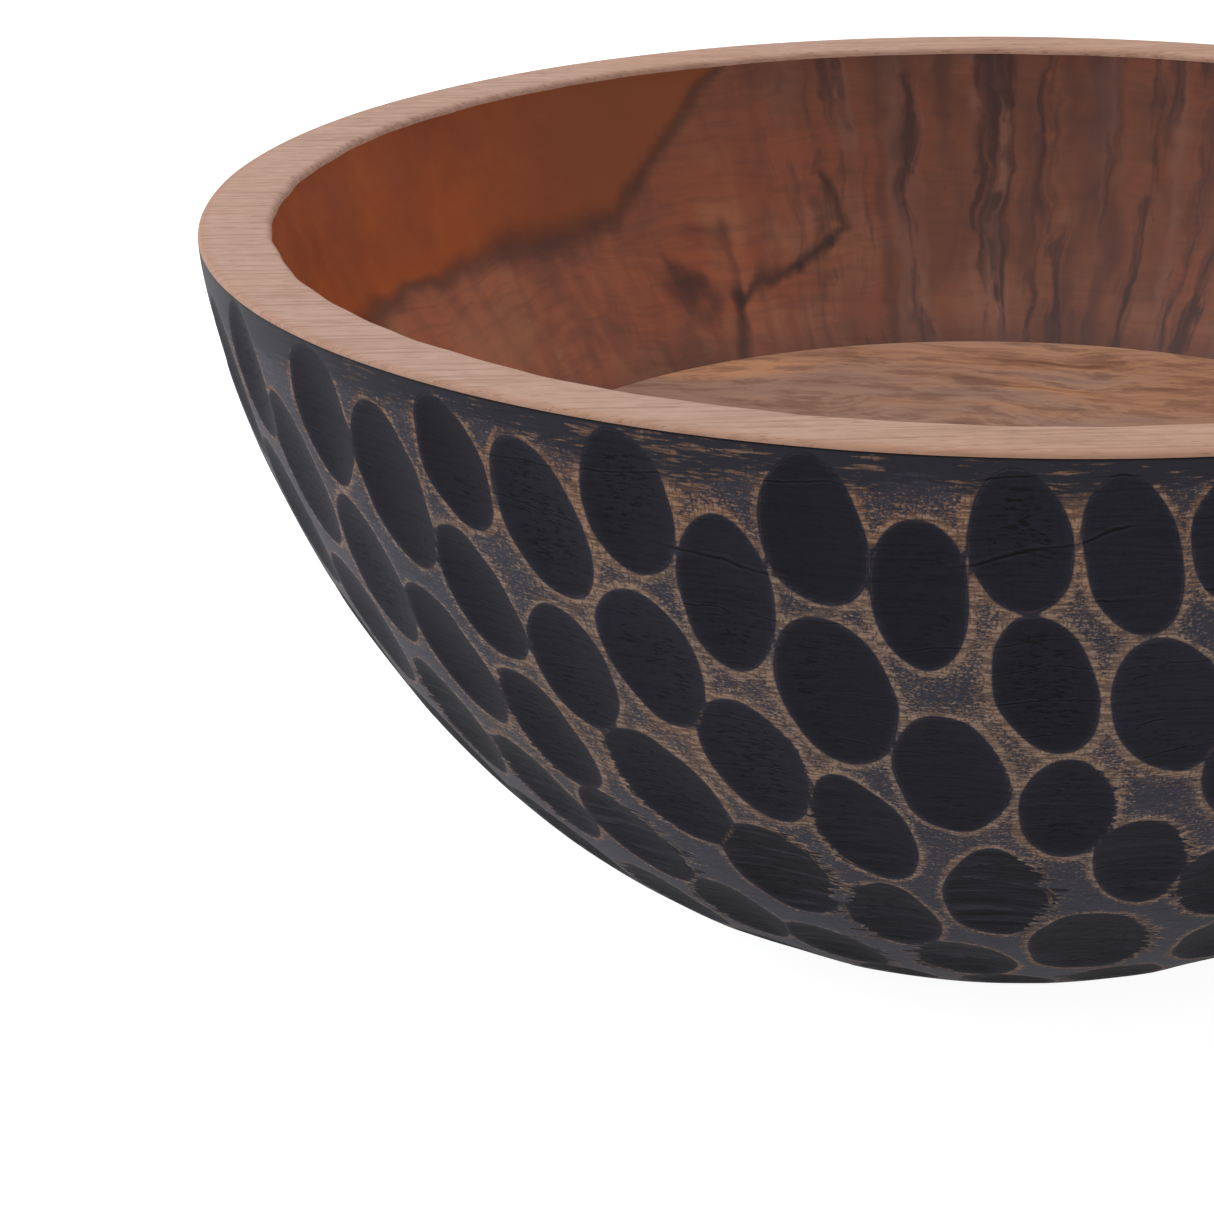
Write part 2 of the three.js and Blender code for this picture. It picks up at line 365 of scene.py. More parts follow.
def closed_mesh(name, rows, angles, surfaces, values, ends):
    """Revolved skin of rows of (radius, level), closed by two poles or by joining up.

    A face takes the surface of the first of its two rows.
    """
    turns, count = len(angles), len(rows)
    directions = angles - math.pi / 2
    radius = np.array([row[0] for row in rows])
    level = np.array([row[1] for row in rows])
    x = radius * np.cos(directions)
    y = radius * np.sin(directions)
    corners = np.stack([x, y, level], axis=-1).reshape(-1, 3) * MM
    index = np.arange(count * turns).reshape(count, turns)
    after = np.roll(index, -1, axis=1)
    pairs = [(k, (k + 1) % count) for k in range(count if ends == "ring" else count - 1)]
    quads = np.concatenate([
        np.stack([index[a], index[b], after[b], after[a]], axis=-1) for a, b in pairs
    ])
    materials = np.repeat([surfaces[a] for a, _ in pairs], turns)
    loops, starts = quads.ravel(), np.arange(len(quads)) * 4
    if ends == "poles":
        poles = len(corners) + np.arange(2)
        tips = np.array([[0, 0, level[0].mean()], [0, 0, level[-1].mean()]]) * MM
        corners = np.concatenate([corners, tips])
        top = np.stack([np.full(turns, poles[0]), index[0], after[0]], axis=-1)
        bottom = np.stack([np.full(turns, poles[1]), after[-1], index[-1]], axis=-1)
        caps = np.concatenate([top, bottom])
        starts = np.concatenate([starts, len(loops) + np.arange(len(caps)) * 3])
        loops = np.concatenate([loops, caps.ravel()])
        cap_materials = np.repeat([surfaces[0], surfaces[-1]], turns)
        materials = np.concatenate([materials, cap_materials])
    mesh = write_mesh(name, corners, loops, starts, materials)
    for key, grid in values.items():
        spread = np.zeros(len(corners), np.float32)
        spread[: grid.size] = grid.ravel()
        attribute = mesh.attributes.new(key, "FLOAT", "POINT")
        attribute.data.foreach_set("value", spread)
    mesh.shade_smooth()
    mesh.set_sharp_from_angle(angle=SHARP_EDGE)
    piece = bpy.data.objects.new(name, mesh)
    bpy.context.scene.collection.objects.link(piece)
    return piece


def waver(angles, waves, size, seed):
    """A slow, closed wander of an edge round the bowl."""
    random = np.random.RandomState(seed)
    total = sum(
        random.uniform(0.4, 1) * np.sin(wave * angles + random.uniform(0, 2 * math.pi))
        for wave in waves
    )
    return total * size / len(waves)


def pad_values(values, rows_before, rows_after):
    """The paint's values for a whole piece, carried on over the rows that aren't scooped."""
    return {
        key: np.pad(grid, ((rows_before, rows_after), (0, 0)), mode="edge")
        for key, grid in values.items()
    }


# Places of a piece's materials: the painted outside, and then two more surfaces.
OUTSIDE_FACE, SECOND_FACE, THIRD_FACE = 0, 1, 2


def build_ring():
    """Wall and rim, hollowed right through, from the glue line up."""
    angles = np.arange(RING_TURNS) * 2 * math.pi / RING_TURNS
    joint = depth_of_level(RING_BOTTOM)
    rows, values = outside_rows(RIM_OUTER_ROUND, joint, RING_STEP, angles)
    rows.reverse()
    scooped = len(rows)
    values = {key: grid[::-1] for key, grid in values.items()}
    surfaces = [OUTSIDE_FACE] * (scooped - 1) + [SECOND_FACE]

    outer = RIM_RADIUS - OUTER_EDGE_IN - waver(angles, OUTER_WAVES, OUTER_WAVER, 3)
    inner = RIM_RADIUS - RIM_WIDTH + waver(angles, INNER_WAVES, INNER_WAVER, 4)
    for k in range(1, OUTER_ROUND_STEPS + 1):
        turn = k / OUTER_ROUND_STEPS * math.pi / 2
        rows.append(level_row(
            outer - RIM_OUTER_ROUND * (1 - math.cos(turn)),
            HEIGHT - RIM_OUTER_ROUND * (1 - math.sin(turn)),
            angles,
        ))
    flat_outer, flat_inner = outer - RIM_OUTER_ROUND, inner + RIM_INNER_ROUND
    for share in (0.33, 0.66):
        rows.append(level_row(flat_outer + (flat_inner - flat_outer) * share, HEIGHT, angles))
    for k in range(INNER_ROUND_STEPS + 1):
        turn = k / INNER_ROUND_STEPS * math.pi / 2
        rows.append(level_row(
            inner + RIM_INNER_ROUND * (1 - math.sin(turn)),
            HEIGHT - RIM_INNER_ROUND * (1 - math.cos(turn)),
            angles,
        ))
    surfaces += [SECOND_FACE] * (len(rows) - len(surfaces) - 1)

    wall_top = (RIM_RADIUS - RIM_WIDTH, HEIGHT - RIM_INNER_ROUND)
    wall = bezier([wall_top, WALL_BULGE, (FLOOR_RADIUS, FLOOR_LEVEL)], WALL_STEPS + 1)
    wall[-1, 1] = RING_BOTTOM
    for k, (wall_radius, wall_level) in enumerate(wall[1:], 1):
        fade = max(0.0, 1 - k / 6)
        rows.append(level_row(wall_radius + fade * (inner - wall_top[0]), wall_level, angles))
    surfaces += [THIRD_FACE] * WALL_STEPS + [OUTSIDE_FACE]
    values = pad_values(values, 0, len(rows) - scooped)
    return closed_mesh("upper_ring_wood", rows, angles, surfaces, values, "ring")


def build_base():
    """Floor, scooped underside and foot."""
    angles = np.arange(BASE_TURNS) * 2 * math.pi / BASE_TURNS
    joint = depth_of_level(FLOOR_LEVEL)
    floor = [level_row(FLOOR_RADIUS * share, FLOOR_LEVEL, angles) for share in (0.25, 0.5, 0.75, 1)]
    outside, values = outside_rows(joint, OUTSIDE_LENGTH, BASE_STEP, angles)
    foot = [level_row(FOOT_RADIUS * share, 0, angles) for share in (0.96, 0.5)]
    surfaces = (
        [SECOND_FACE] * (len(floor) - 1)
        + [OUTSIDE_FACE] * len(outside)
        + [THIRD_FACE] * (len(foot) + 1)
    )
    values = pad_values(values, len(floor), len(foot))
    return closed_mesh("base_block_wood", floor + outside + foot, angles, surfaces, values, "poles")


# ---------------------------------------------------------------- materials

def srgb(red, green, blue):
    """A colour given in display values from 0 to 255."""
    def linear(value):
        share = value / 255
        return share / 12.92 if share <= 0.04045 else ((share + 0.055) / 1.055) ** 2.4
    return (linear(red), linear(green), linear(blue), 1.0)


class Tree:
    """Short ways to build one material's nodes."""

    def __init__(self, name):
        self.material = bpy.data.materials.new(name)
        self.material.use_nodes = True
        self.nodes = self.material.node_tree.nodes
        self.links = self.material.node_tree.links
        self.shader = self.nodes["Principled BSDF"]

    def set(self, socket, value):
        if isinstance(value, bpy.types.NodeSocket):
            self.links.new(value, socket)
        elif value is not None:
            socket.default_value = value

    def math(self, operation, *values, clamp=False):
        node = self.nodes.new("ShaderNodeMath")
        node.operation = operation
        node.use_clamp = clamp
        for socket, value in zip(node.inputs, values):
            self.set(socket, value)
        return node.outputs[0]

    def value(self, name):
        node = self.nodes.new("ShaderNodeAttribute")
        node.attribute_name = name
        return node.outputs["Fac"]

    def place(self):
        return self.nodes.new("ShaderNodeTexCoord").outputs["Object"]

    def turn(self, vector, angle):
        node = self.nodes.new("ShaderNodeVectorRotate")
        node.rotation_type = "Z_AXIS"
        self.set(node.inputs["Vector"], vector)
        node.inputs["Angle"].default_value = angle
        return node.outputs[0]

    def scaled(self, vector, scale, shift=(0, 0, 0)):
        node = self.nodes.new("ShaderNodeVectorMath")
        node.operation = "MULTIPLY_ADD"
        self.set(node.inputs[0], vector)
        node.inputs[1].default_value = scale
        node.inputs[2].default_value = shift
        return node.outputs[0]

    def noise(self, vector, scale, detail=2.0, roughness=0.5):
        node = self.nodes.new("ShaderNodeTexNoise")
        self.set(node.inputs["Vector"], vector)
        node.inputs["Scale"].default_value = scale
        node.inputs["Detail"].default_value = detail
        node.inputs["Roughness"].default_value = roughness
        return node.outputs["Fac"]

    def grain(self, vector, stretch, detail=2.0, roughness=0.5, shift=(0, 0, 0)):
        """Noise with its own fineness along each axis."""
        return self.noise(self.scaled(vector, stretch, shift), 1.0, detail, roughness)

    def warped(self, vector, scale, size):
        """A place moved by a smooth random amount of up to about size metres."""
        node = self.nodes.new("ShaderNodeTexNoise")
        self.set(node.inputs["Vector"], vector)
        node.inputs["Scale"].default_value = scale
        node.inputs["Detail"].default_value = 1.0
        move = self.nodes.new("ShaderNodeVectorMath")
        move.operation = "MULTIPLY_ADD"
        self.links.new(node.outputs["Color"], move.inputs[0])
        move.inputs[1].default_value = tuple(2 * s for s in size)
        move.inputs[2].default_value = tuple(-s for s in size)
        total = self.nodes.new("ShaderNodeVectorMath")
        total.operation = "ADD"
        self.set(total.inputs[0], vector)
        self.links.new(move.outputs[0], total.inputs[1])
        return total.outputs[0]

    def step(self, value, low, high):
        node = self.nodes.new("ShaderNodeMapRange")
        node.interpolation_type = "SMOOTHSTEP"
        self.set(node.inputs["Value"], value)
        node.inputs["From Min"].default_value = low
        node.inputs["From Max"].default_value = high
        return node.outputs["Result"]

    def ramp(self, value, stops):
        node = self.nodes.new("ShaderNodeValToRGB")
        self.set(node.inputs["Fac"], value)
        elements = node.color_ramp.elements
        while len(elements) < len(stops):
            elements.new(0.5)
        for element, (position, color) in zip(elements, stops):
            element.position = position
            element.color = color
        return node.outputs["Color"]

    def mix(self, share, one, other, blend="MIX"):
        node = self.nodes.new("ShaderNodeMix")
        node.data_type = "RGBA"
        node.blend_type = blend
        self.set(node.inputs[0], share)
        self.set(node.inputs[6], one)
        self.set(node.inputs[7], other)
        return node.outputs[2]

    def lay(self, color, mask, share, tint):
        """A tint laid over a colour, by a share of a mask."""
        return self.mix(self.math("MULTIPLY", mask, share), color, tint)

    def bump(self, height, distance, strength):
        node = self.nodes.new("ShaderNodeBump")
        self.set(node.inputs["Height"], height)
        node.inputs["Distance"].default_value = distance
        node.inputs["Strength"].default_value = strength
        return node.outputs["Normal"]

    def vector(self, operation, *values):
        node = self.nodes.new("ShaderNodeVectorMath")
        node.operation = operation
        for socket, value in zip(node.inputs, values):
            self.set(socket, value)
        return node.outputs["Value" if operation in ("DOT_PRODUCT", "LENGTH") else "Vector"]

    def split(self, vector):
        node = self.nodes.new("ShaderNodeSeparateXYZ")
        self.set(node.inputs[0], vector)
        return node.outputs

    def from_axis(self, x, y):
        """Distance from the axis of the bowl."""
        squares = self.math("ADD", self.math("MULTIPLY", x, x), self.math("MULTIPLY", y, y))
        return self.math("SQRT", squares)

    def joined(self, x, y, z):
        node = self.nodes.new("ShaderNodeCombineXYZ")
        for socket, value in zip(node.inputs, (x, y, z)):
            self.set(socket, value)
        return node.outputs[0]

    def finish(self, color, roughness, normal=None, specular=0.3):
        self.set(self.shader.inputs["Base Color"], color)
        self.set(self.shader.inputs["Roughness"], roughness)
        if normal is not None:
            self.links.new(normal, self.shader.inputs["Normal"])
        self.shader.inputs["Specular IOR Level"].default_value = specular
        return self.material


SCOOP_PAINT = srgb(31, 29, 40)
SCOOP_PAINT_PALE = srgb(39, 37, 50)
SCOOP_PAINT_DARK = srgb(23, 23, 31)
SCOOP_EDGE_PAINT = srgb(46, 45, 60)
# Pale land paint; its paleness shows mostly on the left, where it partly stands for sheen.
LAND_PAINT_WITH_SHEEN = srgb(80, 78, 91)
LAND_PAINT_DARK = srgb(51, 49, 60)
BAND_PAINT = srgb(44, 43, 52)
CRACK_BLACK = srgb(8, 8, 11)
# Pale torn grain; the same colour is also a painted highlight along the cracks.
TEAR_PALE_AND_LIP_HIGHLIGHT = srgb(55, 55, 66)
WORN_TAN = srgb(174, 144, 122)
WORN_GREY = srgb(154, 140, 132)
WORN_ORANGE = srgb(184, 130, 92)
WORN_PALE = srgb(204, 174, 150)
WORN_FLECK = srgb(70, 58, 54)
RIM_EDGE_BLACK = srgb(20, 18, 19)


def spread_out(t, value, share=4.0):
    """Noise spread from its narrow middle to fill 0 to 1."""
    return t.math("MULTIPLY_ADD", value, share, 0.5 - share / 2, clamp=True)


def wear_mask(t, place, land, below_rim, specks):
    """Where the paint is rubbed through: along every scoop's edge and in flecks on the lands."""
    x, y, _ = t.split(place)
    patches = spread_out(t, t.noise(place, 38.0, detail=2), 3.0)
    spots = spread_out(t, t.noise(place, 110.0, detail=2), 3.0)
    # Rubbing by hands, most at the front right and least at the left. The same mask also darkens
    # the lands and browns the bare wood at the front right, which leaves the left paler and greyer:
    # partly painted sheen from the lights on the left.
    facing = t.math("ADD", t.math("MULTIPLY", x, 0.85), t.math("MULTIPLY", y, -0.5))
    handling_and_side_sheen = t.math("ADD", t.step(facing, -0.11, 0.06),
                     t.math("MULTIPLY_ADD", t.noise(place, 12.0, detail=1), 1.8, -0.9))
    handling_and_side_sheen = t.math("MINIMUM", t.math("MAXIMUM", handling_and_side_sheen, 0.0), 1.0)
    width = t.math("MULTIPLY_ADD", handling_and_side_sheen, 0.45, t.math("MULTIPLY_ADD", spots, 0.7, 0.75))
    near = t.math("SUBTRACT", 1.0, t.math("DIVIDE", land, width), clamp=True)
    fleck = t.math("MULTIPLY_ADD", patches, 0.60, 0.22)
    fleck = t.math("MULTIPLY", fleck, t.step(below_rim, 110.0, 55.0))
    fleck = t.math("MULTIPLY", t.math("MULTIPLY", fleck, handling_and_side_sheen), t.step(land, 6.0, 1.5))
    near = t.math("MULTIPLY", near, t.math("MULTIPLY_ADD", patches, 0.35, 0.80))
    amount = t.math("ADD", t.math("MULTIPLY_ADD", near, 1.05, -0.08), fleck)
    rubbed = t.math("ADD", amount, spread_out(t, specks, 3.0))
    return t.step(rubbed, 0.70, 1.32), patches, handling_and_side_sheen


def crack_lines(t, place):
    """Thin, nearly level drying cracks: how near one is, and where on the wall they show."""
    bent = t.warped(place, 420.0, (0.0, 0.0, 0.0003))
    bent = t.warped(bent, 110.0, (0.0, 0.0, 0.0009))
    wander = t.grain(bent, (9, 9, 20), detail=1)
    _, _, z = t.split(bent)
    phase = t.math("MULTIPLY_ADD", z, 160.0, t.math("MULTIPLY", wander, 6.0))
    off = t.math("ABSOLUTE", t.math("SUBTRACT", t.math("FRACT", phase), 0.5))
    where = spread_out(t, t.grain(place, (75, 75, 190), detail=1), 3.0)
    return off, t.step(where, 0.35, 0.75)


def scratched_band(t, below_rim, patches, streaks, handling_and_side_sheen):
    """The plain band under the rim, and the scratches in it."""
    reach = t.math("ADD", t.math("MULTIPLY_ADD", patches, 6.0, 4.0),
                   t.math("MULTIPLY_ADD", streaks, 14.0, -7.0))
    band = t.step(t.math("SUBTRACT", below_rim, reach), 1.5, -1.5)
    scratched = t.math("ADD", streaks, t.math("MULTIPLY_ADD", patches, 0.20, -0.10))
    scratched = t.math("MULTIPLY", t.step(scratched, 0.56, 0.64), t.step(handling_and_side_sheen, 0.2, 0.8))
    return band, t.math("MULTIPLY", scratched, 0.6)


def scoop_color(t, outline, stroke, torn, lines, weave, crack_lip_highlight, tears, pores):
    """Dense black paint, darker in the grain and in torn wood, and paler along the edge."""
    paint = t.mix(stroke, SCOOP_PAINT, SCOOP_PAINT_PALE)
    paint = t.lay(paint, weave, 0.35, SCOOP_PAINT_DARK)
    paint = t.lay(paint, t.step(outline, 1.5, 0.1), 0.6, SCOOP_EDGE_PAINT)
    paint = t.lay(paint, t.step(lines, 0.48, 0.62), 0.6, SCOOP_PAINT_DARK)
    paint = t.lay(paint, torn, 0.7, SCOOP_PAINT_DARK)
    # Painted highlight: a pale band along each crack, for light catching the crack's edges.
    paint = t.lay(paint, crack_lip_highlight, 0.35, TEAR_PALE_AND_LIP_HIGHLIGHT)
    paint = t.lay(paint, torn, t.step(tears, 0.50, 0.62), CRACK_BLACK)
    paint = t.lay(paint, torn, t.step(tears, 0.46, 0.36), TEAR_PALE_AND_LIP_HIGHLIGHT)
    return t.mix(pores, paint, CRACK_BLACK)


def land_color(t, place, weave, handling_and_side_sheen, band):
    """Thinner, greyer paint between the scoops, dark in the band under the rim; the lands are paler
    on the left partly as painted sheen.
    """
    scuffs = spread_out(t, t.noise(place, 160.0, detail=4, roughness=0.7), 3.5)
    paint = t.lay(LAND_PAINT_WITH_SHEEN, weave, 0.5, LAND_PAINT_DARK)
    paint = t.lay(paint, scuffs, 0.45, LAND_PAINT_DARK)
    # Painted sheen: the lands are darker at the front right and so paler on the left, as if the
    # lights on the left shone on them.
    paint = t.lay(paint, handling_and_side_sheen, 0.40, LAND_PAINT_DARK)
    return t.lay(paint, band, 0.8, BAND_PAINT)


def worn_color(t, below_rim, patches, handling_and_side_sheen, lines, threads, weave):
    """Bare wood where the paint is gone: grey to tan, and more orange under the rim."""
    # Bare wood greyer on the left and tan at the front right: partly wear, partly painted sheen
    # from the lights on the left.
    tan = t.mix(handling_and_side_sheen, WORN_GREY, WORN_TAN)
    tan = t.lay(tan, patches, 0.30, WORN_ORANGE)
    tan = t.lay(tan, t.step(below_rim, 34.0, 10.0), 0.7, WORN_ORANGE)
    tan = t.lay(tan, t.step(lines, 0.50, 0.64), 0.5, WORN_FLECK)
    tan = t.lay(tan, t.step(threads, 0.46, 0.36), 0.45, WORN_PALE)
    return t.lay(tan, weave, 0.60, WORN_FLECK)


def painted_outside():
    """Matt black paint: dense in the scoops, greyer on the lands and rubbed through at edges."""
    t = Tree("black_painted_wood")
    place = t.place()
    torn, stroke, below_rim = t.value("torn"), t.value("stroke"), t.value("below_rim")
    teeth = t.grain(place, (110, 110, 1300), detail=1)
    teeth = t.math("MULTIPLY", t.value("ragged"), t.math("MULTIPLY_ADD", teeth, 20.0, -10.0))
    outline = t.math("ADD", t.value("outline"), teeth)
    land = t.math("MULTIPLY", outline, -1.0)
    on_land = t.step(land, -0.10, 0.28)

    specks = t.grain(place, (1650, 1650, 3200), detail=2, roughness=0.65)
    lines = t.grain(place, (60, 60, 1500), detail=3, roughness=0.6)
    streaks = t.grain(place, (170, 170, 1500), detail=3, roughness=0.6)
    dashes = t.grain(place, (480, 480, 1900), detail=2, roughness=0.6)
    tears = t.grain(place, (70, 70, 800), detail=3, roughness=0.6)
    threads = t.grain(place, (420, 420, 2600), detail=1)
    cross = t.grain(place, (2300, 2300, 420), detail=1)
    weave = t.math("MAXIMUM", t.step(threads, 0.48, 0.60), t.step(cross, 0.52, 0.64))

    worn, patches, handling_and_side_sheen = wear_mask(t, place, land, below_rim, specks)
    band, scratches = scratched_band(t, below_rim, patches, streaks, handling_and_side_sheen)
    worn = t.mix(band, worn, scratches)
    ridge = t.math("MULTIPLY", t.step(t.value("crease"), 0.5, 0.05), t.step(outline, 0.15, 0.5))
    worn = t.math("MAXIMUM", t.math("MULTIPLY", worn, on_land), t.math("MULTIPLY", ridge, 0.6))
    rim_edge = t.step(below_rim, 1.3, 0.9)
    worn = t.math("MULTIPLY", worn, t.math("SUBTRACT", 1.0, rim_edge))

    crack_off, cracked = crack_lines(t, place)
    crack = t.math("MULTIPLY", t.step(crack_off, 0.024, 0.006), cracked)
    crack = t.math("MULTIPLY", crack, t.math("MULTIPLY_ADD", on_land, -0.75, 1.0))
    # Painted highlight: the band along each crack that is laid pale in the scoops.
    crack_lip_highlight = t.math("MULTIPLY", t.step(crack_off, 0.075, 0.025), cracked)
    deep = t.math("MULTIPLY", t.step(outline, 1.5, 5.0), t.step(patches, 0.2, 0.7))
    pores = t.math("MULTIPLY", t.step(dashes, 0.56, 0.63), t.math("MULTIPLY_ADD", deep, 0.8, 0.2))
    pores = t.math("MULTIPLY", pores, t.math("SUBTRACT", 1.0, on_land))

    scoop = scoop_color(t, outline, stroke, torn, lines, weave, crack_lip_highlight, tears, pores)
    color = t.mix(t.step(land, -0.30, 0.20), scoop, land_color(t, place, weave, handling_and_side_sheen, band))
    tan = worn_color(t, below_rim, patches, handling_and_side_sheen, lines, threads, weave)
    color = t.lay(color, worn, 0.82, tan)
    color = t.mix(rim_edge, color, RIM_EDGE_BLACK)
    color = t.mix(crack, color, CRACK_BLACK)

    height = t.math("MULTIPLY_ADD", lines, 0.45, t.math("MULTIPLY", specks, 0.25))
    height = t.math("SUBTRACT", height, crack)
    height = t.math("SUBTRACT", height, t.math("MULTIPLY", pores, 0.6))
    height = t.math("MULTIPLY_ADD", t.math("MULTIPLY", tears, torn), 1.4, height)
    roughness = t.math("MULTIPLY_ADD", on_land, -0.14, 0.56)
    roughness = t.math("MULTIPLY_ADD", worn, 0.2, roughness)
    return t.finish(color, roughness, t.bump(height, 0.00020, 0.8), specular=0.20)


def wood_fields(t, place, angle):
    """Growth layers, fine fibres and open pores of wood whose fibres run at an angle in plan."""
    along = t.turn(place, -angle)
    bent = t.warped(along, 6.0, (0.0, 0.012, 0.004))
    bent = t.warped(bent, 24.0, (0.0, 0.0035, 0.002))
    layers = t.grain(bent, (2.2, 60, 3.5), detail=3, roughness=0.55)
    fine = t.grain(bent, (5, 260, 12), detail=3, roughness=0.6)
    fibres = t.grain(along, (28, 900, 900), detail=2, roughness=0.6)
    pores = t.grain(along, (190, 2400, 2400), detail=1)
    return layers, fine, fibres, t.step(pores, 0.64, 0.72)


RIM_RED = srgb(204, 158, 134)
RIM_MID = srgb(211, 168, 145)
RIM_TAN = srgb(198, 153, 128)
# Painted sheen: a paler, greyer colour for the left side of the rim, where the lights on the left
# shine.
RIM_PAINTED_SHEEN = srgb(212, 176, 160)
RIM_MOTTLE = srgb(176, 130, 106)
RIM_FIBRE = srgb(164, 122, 100)
RIM_PORE = srgb(140, 98, 76)
RIM_WARM = srgb(206, 156, 126)
RIM_OUTER = srgb(186, 130, 96)


def bare_rim():
    """Sanded, unfinished wood with short fine streaks."""
    t = Tree("sanded_rim_wood")
    place = t.place()
    layers, fine, fibres, pores = wood_fields(t, place, math.radians(8))
    color = t.ramp(t.math("ADD", t.math("MULTIPLY", layers, 0.5), t.math("MULTIPLY", fine, 0.5)), (
        (0.35, RIM_RED),
        (0.5, RIM_MID),
        (0.65, RIM_TAN),
    ))
    x, y, _ = t.split(place)
    # Painted sheen: the left half of the rim is laid paler and greyer, for the sheen that the
    # lights on the left give it.
    color = t.lay(color, t.step(x, 0.0, -0.06), 0.60, RIM_PAINTED_SHEEN)
    mottle = spread_out(t, t.grain(place, (260, 420, 260), detail=3), 3.0)
    color = t.lay(color, mottle, 0.30, RIM_MOTTLE)
    color = t.lay(color, t.step(fibres, 0.46, 0.66), 0.50, RIM_FIBRE)
    color = t.lay(color, pores, 0.6, RIM_PORE)
    warm = t.noise(place, 18.0, detail=2)
    color = t.lay(color, t.step(warm, 0.45, 0.7), 0.35, RIM_WARM)
    radius = t.from_axis(x, y)
    outer = t.step(radius, (RIM_RADIUS - 2.5) * MM, (RIM_RADIUS - 0.6) * MM)
    color = t.lay(color, outer, 0.35, RIM_OUTER)
    height = t.math("MULTIPLY_ADD", fibres, 0.6, t.math("MULTIPLY", pores, -0.6))
    return t.finish(color, 0.62, t.bump(height, 0.00012, 0.7), specular=0.35)


# Radius in metres at which directions on the wall are unrolled.
WALL_SPREAD = 0.12


def degrees_out(direction):
    """Place of a direction on the unrolled wall, in metres."""
    return math.radians(direction) * WALL_SPREAD


def nearest_stroke(t, point, stops):
    """Distance in metres from a place on the unrolled wall to a line of (direction, level)."""
    flat = [(degrees_out(direction), level * MM, 0) for direction, level in stops]
    nearest = None
    for start, end in zip(flat, flat[1:]):
        run = Vector(end) - Vector(start)
        offset = t.vector("SUBTRACT", point, start)
        share = t.math("MULTIPLY", t.vector("DOT_PRODUCT", offset, tuple(run / run.length_squared)),
                       1.0, clamp=True)
        foot = t.vector("MULTIPLY", t.joined(share, share, share), tuple(run))
        distance = t.vector("LENGTH", t.vector("SUBTRACT", offset, foot))
        nearest = distance if nearest is None else t.math("MINIMUM", nearest, distance)
    return nearest


WALL_DARK = srgb(108, 70, 56)
WALL_MID = srgb(150, 92, 68)
WALL_RED = srgb(168, 92, 64)
WALL_TAN = srgb(180, 120, 88)
WALL_PALE = srgb(152, 108, 92)
WALL_PURPLE = srgb(82, 56, 53)
WALL_BLACK = srgb(54, 39, 38)
SAP_ORANGE = srgb(184, 90, 32)
SAP_DEEP = srgb(158, 74, 31)
SAP_EDGE = srgb(150, 82, 46)
WALL_RUDDY = srgb(190, 110, 80)

# Dark veins and the knot on the inside wall: a line of (direction in degrees, level in
# millimetres), the width in millimetres and the strength.
WALL_VEINS = (
    (((123.9, 71), (122.7, 78), (121.9, 84)), 2.6, 0.75),
    (((121.9, 84), (121.6, 90), (121.9, 97)), 1.9, 0.40),
    (((122.2, 82), (119.6, 85.5), (116.8, 86.6), (113.5, 88.2)), 2.4, 0.75),
    (((113.5, 88.2), (110.8, 90.0), (109.1, 91.8)), 1.9, 0.75),
    (((109.1, 91.8), (107.6, 94.6), (107.9, 99.0), (109.4, 104)), 1.6, 0.65),
    (((129.0, 86.2), (126.8, 86.6)), 5.2, 0.60),
    (((128.2, 90.4), (124.8, 83.4)), 3.4, 0.45),
    (((126.4, 80.0), (125.2, 81.5)), 3.0, 0.45),
    (((125.5, 97.0), (122.5, 95.0)), 3.0, 0.35),
)
# A pale patch low on the left of the wall, as a line of (direction, level).
WALL_GLOW = ((161, 87), (154, 84))
# Lower border of the orange sapwood: its level in metres, and the direction in degrees from
# which it climbs to the right, and how steeply.
BORDER_LEVEL = 0.1008
BORDER_TURN = 133
BORDER_RISE = 0.9


def wall_ground(t, wall, turn):
    """Red-brown heartwood: broad patches, upright flames and fine level grain."""
    bent = t.warped(t.warped(wall, 18.0, (0.008, 0.008, 0.006)), 70.0, (0.003, 0.003, 0.002))
    broad = t.grain(bent, (22, 22, 26), detail=4, roughness=0.6)
    smoky = t.grain(bent, (34, 34, 30), detail=4, roughness=0.65, shift=(4.1, 0.0, 0.0))
    tawny = t.grain(bent, (38, 38, 34), detail=3, roughness=0.6, shift=(0.0, 3.3, 0.0))
    flames = t.grain(bent, (150, 150, 22), detail=3, roughness=0.6)
    grain = t.grain(bent, (70, 70, 620), detail=2, roughness=0.6)
    color = t.mix(spread_out(t, broad, 3.5), WALL_MID, WALL_RED)
    ruddy = t.math("MULTIPLY", t.step(turn, degrees_out(126), degrees_out(146)),
                   t.step(turn, degrees_out(215), degrees_out(175)))
    color = t.lay(color, ruddy, 0.65, WALL_RUDDY)
    color = t.lay(color, t.step(smoky, 0.44, 0.62), 0.55, WALL_DARK)
    color = t.lay(color, t.step(tawny, 0.53, 0.66), 0.55, WALL_TAN)
    color = t.lay(color, t.step(flames, 0.50, 0.64), 0.18, WALL_PURPLE)
    color = t.lay(color, t.step(grain, 0.46, 0.62), 0.25, WALL_DARK)
    return color, broad, smoky, flames


